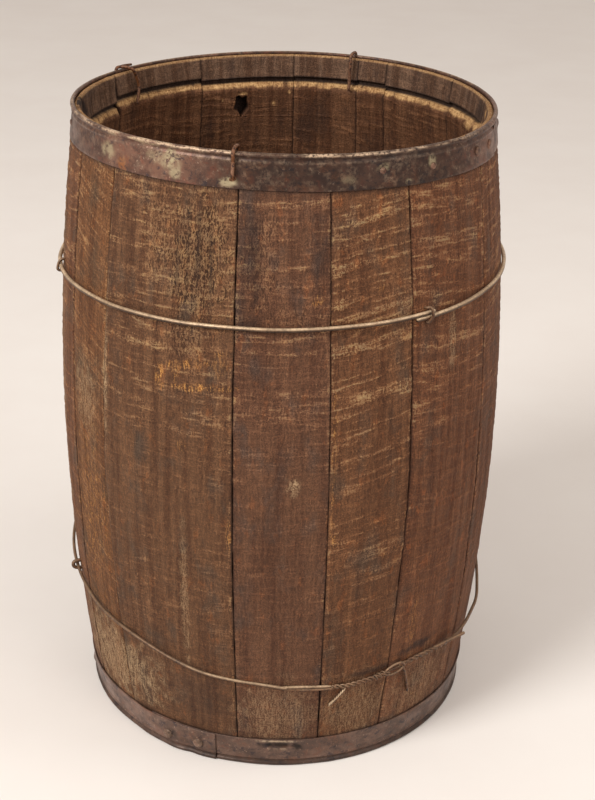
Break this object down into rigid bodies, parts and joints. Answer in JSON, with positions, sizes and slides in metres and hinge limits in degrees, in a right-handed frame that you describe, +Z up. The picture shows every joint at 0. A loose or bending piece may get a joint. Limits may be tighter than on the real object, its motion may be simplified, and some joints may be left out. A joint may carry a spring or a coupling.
{
  "type": "slack stave keg",
  "caption": "Open-topped bulged keg of sawn wooden staves, with flat steel hoops at both ends, wire hoops between them and wire ties over the rim.",
  "frame": {"origin": "middle of the base, on the surface that the keg stands on", "axes": "+Z up along the keg's axis to its open mouth; the front is -Y and +X is to the right"},
  "size_m": [0.3227, 0.3231, 0.462],
  "materials": {
    "staves": "worn dark sawn wood",
    "head": "rough sawn wood",
    "hoops": "brown patina, satin",
    "hoop_fasteners": "brown patina",
    "wire_hoops": "worn dark wire",
    "rim_ties": "rusty wire"
  },
  "bodies": {
    "root": {"stave_01": "staves", "stave_02": "staves", "stave_03": "staves", "stave_04": "staves", "stave_05": "staves", "stave_06": "staves", "stave_07": "staves", "stave_08": "staves", "stave_09": "staves", "stave_10": "staves", "stave_11": "staves", "stave_12": "staves", "stave_13": "staves", "stave_14": "staves", "head_board_left": "head", "head_board_middle": "head", "head_board_right": "head", "top_hoop": "hoops", "bottom_hoop": "hoops", "top_hoop_rivets": "hoop_fasteners", "top_hoop_nails": "hoop_fasteners", "bottom_hoop_rivets": "hoop_fasteners", "upper_wire_hoop": "wire_hoops", "lower_wire_hoop": "wire_hoops", "wire_hoop_staples": "wire_hoops", "rim_tie_front": "rim_ties", "rim_tie_rear_left": "rim_ties", "rim_tie_rear_right": "rim_ties"}
  },
  "joints": []
}
